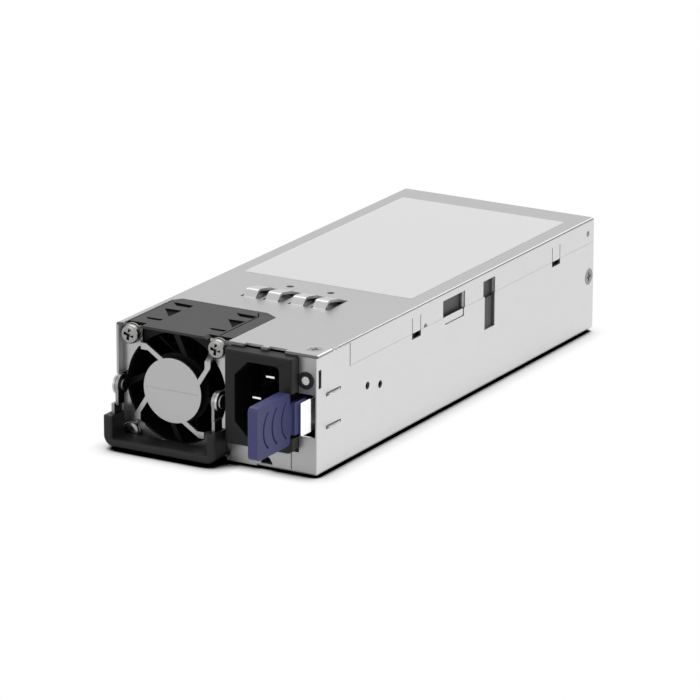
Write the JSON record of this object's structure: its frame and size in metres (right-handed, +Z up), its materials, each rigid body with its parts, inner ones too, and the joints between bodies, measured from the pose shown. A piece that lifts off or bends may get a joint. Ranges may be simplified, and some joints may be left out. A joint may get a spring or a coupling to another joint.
{
  "type": "hot swap server power supply",
  "caption": "Slim hot swap power supply for a server: steel case with finger guarded fan, turned mains inlet, folding pull handle, sprung side latch and rear card edge.",
  "frame": {"origin": "middle of the flat underside of the case", "axes": "+X to the right seen from the inlet and fan end, +Y along the case towards the card edge, +Z up"},
  "size_m": [0.0751, 0.2191, 0.0413],
  "materials": {
    "case_steel": "galvanised sheet, satin",
    "cover_steel": "galvanised sheet, satin",
    "guard_steel": "zinc plated, satin",
    "screw_steel": "nickel plated",
    "strap_steel": "zinc plated, satin",
    "spring_steel": "bright spring steel",
    "black_plastic": "fine grained",
    "grip_plastic": "fine grained",
    "tab_plastic": "fine grained, blue violet",
    "liner_film": "dark grey film",
    "board_green": "solder mask",
    "gold": "gold plated",
    "contact_metal": "nickel plated brass",
    "bearing_brass": "turned",
    "stator_iron": "sintered, matte",
    "winding_tape": "yellow tape",
    "heatsink_aluminium": "extruded",
    "capacitor_sleeve": "shrink sleeve",
    "film_box": "moulded box",
    "ceramic_disc": "dipped",
    "semiconductor": "moulded",
    "clear_pipe": "clear moulded",
    "glass_tube": "clear",
    "wire_sleeve": "sleeve"
  },
  "bodies": {
    "case": {"chassis_tray": "case_steel", "top_cover": "cover_steel", "rear_panel": "case_steel", "cover_screws": "screw_steel", "fan_shroud": "black_plastic", "fan_frame": "black_plastic", "fan_bearings": "bearing_brass", "fan_stator": "stator_iron", "fan_guard": "guard_steel", "fan_screws": "screw_steel", "fan_flat_washers": "screw_steel", "fan_lock_washers": "screw_steel", "bail_rivets": "guard_steel", "inlet_body": "black_plastic", "inlet_blades": "contact_metal", "latch_anchor": "case_steel", "led_holder": "black_plastic", "led_light_pipe": "clear_pipe", "led_board": "board_green", "main_board": "board_green", "gold_fingers": "gold", "board_standoffs": "bearing_brass", "board_screws": "screw_steel", "insulation_sheet": "liner_film", "bulk_capacitors": "capacitor_sleeve", "main_transformer_core": "stator_iron", "main_transformer_winding": "winding_tape", "pfc_choke_core": "stator_iron", "pfc_choke_winding": "winding_tape", "emi_choke": "black_plastic", "secondary_heatsink": "heatsink_aluminium", "primary_heatsink": "heatsink_aluminium", "power_transistors": "semiconductor", "x_capacitors": "film_box", "y_capacitors": "ceramic_disc", "output_capacitors": "capacitor_sleeve", "bridge_rectifier": "semiconductor", "fuse": "glass_tube", "relay": "black_plastic", "inrush_thermistor": "ceramic_disc", "control_board": "board_green", "ac_leads": "wire_sleeve", "fan_connector": "black_plastic", "fan_lead": "wire_sleeve"},
    "fan_wheel": {"fan_rotor": "black_plastic", "fan_shaft": "screw_steel"},
    "bail": {"bail_strap": "strap_steel", "bail_grip": "grip_plastic"},
    "latch": {"latch_spring": "spring_steel", "latch_tab": "tab_plastic"}
  },
  "joints": [
    {"name": "fan_spin", "type": "hinge", "parent": "case", "child": "fan_wheel", "pos_m": [-0.0161, -0.0745, 0.0195], "axis": [0, 1, 0], "continuous": true},
    {"name": "bail_swing", "type": "hinge", "parent": "case", "child": "bail", "pos_m": [-0.0161, -0.0941, 0.0194], "axis": [-1, 0, 0], "range_deg": [0, 90]},
    {"name": "latch_press", "type": "hinge", "parent": "case", "child": "latch", "pos_m": [0.03535, -0.0465, 0.01985], "axis": [0, 0, -1], "range_deg": [0, 2.5], "stiffness_Nm_per_rad": 3}
  ]
}
